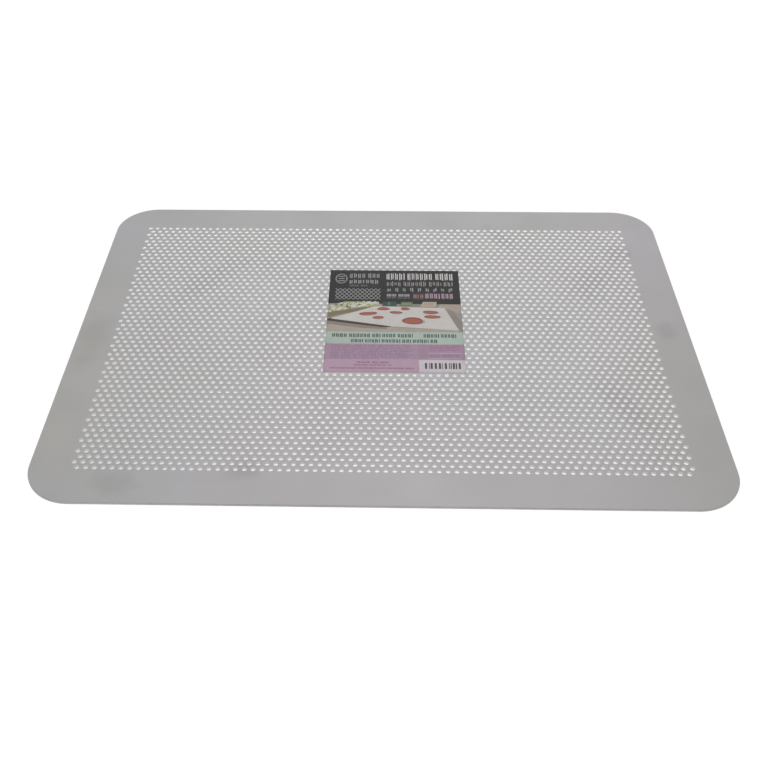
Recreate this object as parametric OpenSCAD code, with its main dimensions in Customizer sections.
// Perforated baking sheet with a product label.
// The sheet is flat and rimless, with round corners and a staggered field of round holes.
// The label is a printed face on a film of adhesive, stuck to the top of the sheet.
// The origin is the middle of the underside, the front edge faces -Y and +Z is up.

/* [Sheet] */
// Length of the sheet, left to right (mm)
sheet_length = 400; // [300:5:600]
// Depth of the sheet, front to back (mm)
sheet_depth = 300; // [250:5:450]
// Thickness of the metal (mm)
sheet_thickness = 1.5; // [0.8:0.1:3]
// Radius of the four corners, seen from above (mm)
corner_radius = 28; // [5:1:60]

/* [Holes] */
// Diameter of each hole (mm)
hole_diameter = 3; // [1.5:0.1:3.6]
// Distance between neighbouring hole centres (mm)
hole_pitch = 5; // [5:0.5:20]
// Least distance from the left and right edges to a hole centre (mm)
side_margin = 25; // [20:0.5:60]
// Least distance from the front and back edges to a hole centre (mm)
end_margin = 26.5; // [20:0.5:60]

/* [Label] */
// Width of the label, left to right (mm)
label_width = 90; // [40:1:150]
// Height of the label, front to back (mm)
label_height = 110; // [40:1:180]
// Distance to the right from the middle of the sheet to the middle of the label (mm)
label_right = 7.5; // [-60:0.5:60]
// Distance to the back from the middle of the sheet to the middle of the label (mm)
label_back = 16; // [-50:0.5:50]
// Thickness of the printed face of the label (mm)
face_thickness = 0.12; // [0.05:0.01:0.4]
// Thickness of the film of adhesive under it (mm)
adhesive_thickness = 0.04; // [0.02:0.01:0.2]
// Distance that the adhesive stops short of the edge of the label (mm)
adhesive_inset = 0.5; // [0:0.1:3]

/* [Hidden] */
// Segments in a circle
$fn = 48;
// Each row of holes is moved over by half a pitch, so the rows sit closer than the pitch.
row_step = hole_pitch * sqrt(3) / 2;
long_row = floor((sheet_length - 2 * side_margin) / hole_pitch) + 1;
short_row = long_row - 1;
// A short row and the long row behind it make a pair.
row_pairs = floor(((sheet_depth - 2 * end_margin) / row_step + 1) / 2);
first_row = -(2 * row_pairs - 1) * row_step / 2;
// Angle that every second band is turned by (degrees), far too small to measure.
hair = 0.00000001;
metal_colour = [0.66, 0.66, 0.65];
adhesive_colour = [0.87, 0.86, 0.80];
label_colour = [0.64, 0.52, 0.61];

// Node to draw

// Outline of the whole sheet: a rectangle with round corners.
module sheet_outline() {
  square([sheet_length - 2 * corner_radius, sheet_depth], center = true);
  square([sheet_length, sheet_depth - 2 * corner_radius], center = true);
  for (x = [-1, 1]) {
    for (y = [-1, 1]) {
      translate([x * (sheet_length / 2 - corner_radius), y * (sheet_depth / 2 - corner_radius)]) {
        circle(r = corner_radius);
      }
    }
  }
}

// One row of holes, centred from left to right.
module hole_row(holes) {
  for (i = [0:holes - 1]) {
    translate([(i - (holes - 1) / 2) * hole_pitch, 0]) {
      circle(d = hole_diameter);
    }
  }
}

// Front edge of a band, halfway between two rows and rounded to a tenth of a millimetre.
// The first band starts at the front of the sheet, and the last one ends at its back.
function band_edge(band) =
  band == 0 ? -sheet_depth / 2
  : band == row_pairs ? sheet_depth / 2
  : round(10 * (first_row + (2 * band - 0.5) * row_step)) / 10;

// A band across the sheet, with one pair of rows in it.
module band_outline(band) {
  front = band_edge(band);
  back = band_edge(band + 1);
  row = first_row + 2 * band * row_step;
  difference() {
    intersection() {
      sheet_outline();
      translate([-sheet_length / 2, front]) {
        square([sheet_length, back - front]);
      }
    }
    translate([0, row]) {
      hole_row(short_row);
    }
    translate([0, row + row_step]) {
      hole_row(long_row);
    }
  }
}

// The sheet is one piece of metal, joined from bands that meet edge to edge.
// Turning every second band by a hair keeps a top and a bottom face for each band.
// A single face with every hole in it would take very long to build and to check.
module perforated_sheet() {
  color(metal_colour) {
    for (band = [0:row_pairs - 1]) {
      rotate([band % 2 * hair, 0, 0]) {
        linear_extrude(height = sheet_thickness) {
          band_outline(band);
        }
      }
    }
  }
}

// A thin rectangle that lies where the label is, with its underside at height z.
module label_layer(width, height, thickness, z) {
  translate([label_right - width / 2, label_back - height / 2, z]) {
    cube([width, height, thickness]);
  }
}

// The film of adhesive that holds the label to the metal.
module label_adhesive() {
  color(adhesive_colour) {
    label_layer(
      label_width - 2 * adhesive_inset,
      label_height - 2 * adhesive_inset,
      adhesive_thickness,
      sheet_thickness
    );
  }
}

// The printed paper face of the label.
module product_label() {
  color(label_colour) {
    label_layer(label_width, label_height, face_thickness, sheet_thickness + adhesive_thickness);
  }
}

perforated_sheet();
label_adhesive();
product_label();
